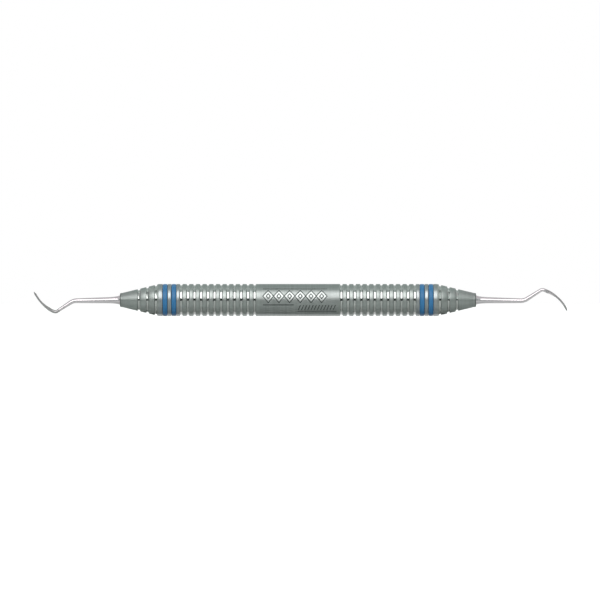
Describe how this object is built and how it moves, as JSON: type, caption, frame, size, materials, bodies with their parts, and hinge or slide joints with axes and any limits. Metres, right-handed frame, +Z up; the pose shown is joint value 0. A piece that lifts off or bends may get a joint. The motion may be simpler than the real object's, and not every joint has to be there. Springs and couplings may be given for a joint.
{
  "type": "dental hand scaler",
  "caption": "Double-ended dental scaler with a grooved hollow steel handle, silicone colour rings, tapered end cones and bent sickle working ends.",
  "frame": {"origin": "on the surface that the handle lies on, under the middle of the handle", "axes": "+X along the handle towards the right working end, +Z up from the surface; the bends of both working ends lie in the XZ plane"},
  "size_m": [0.1601, 0.0096, 0.0096],
  "materials": {
    "handle_steel": "stainless steel, bead-blasted satin, with bright turned groove floors",
    "working_end_steel": "stainless steel, ground and polished",
    "colour_ring": "blue silicone, satin"
  },
  "bodies": {
    "handle": {"handle_barrel": "handle_steel", "left_end_cone": "handle_steel", "right_end_cone": "handle_steel", "left_working_end": "working_end_steel", "right_working_end": "working_end_steel"},
    "left_inner_ring": {"left_inner_ring": "colour_ring"},
    "left_outer_ring": {"left_outer_ring": "colour_ring"},
    "right_inner_ring": {"right_inner_ring": "colour_ring"},
    "right_outer_ring": {"right_outer_ring": "colour_ring"}
  },
  "joints": [
    {"name": "left_inner_ring_turn", "type": "hinge", "parent": "handle", "child": "left_inner_ring", "pos_m": [-0.0372, 0, 0.0048], "axis": [1, 0, 0], "continuous": true},
    {"name": "left_outer_ring_turn", "type": "hinge", "parent": "handle", "child": "left_outer_ring", "pos_m": [-0.03985, 0, 0.0048], "axis": [1, 0, 0], "continuous": true},
    {"name": "right_inner_ring_turn", "type": "hinge", "parent": "handle", "child": "right_inner_ring", "pos_m": [0.0372, 0, 0.0048], "axis": [1, 0, 0], "continuous": true},
    {"name": "right_outer_ring_turn", "type": "hinge", "parent": "handle", "child": "right_outer_ring", "pos_m": [0.03985, 0, 0.0048], "axis": [1, 0, 0], "continuous": true}
  ]
}
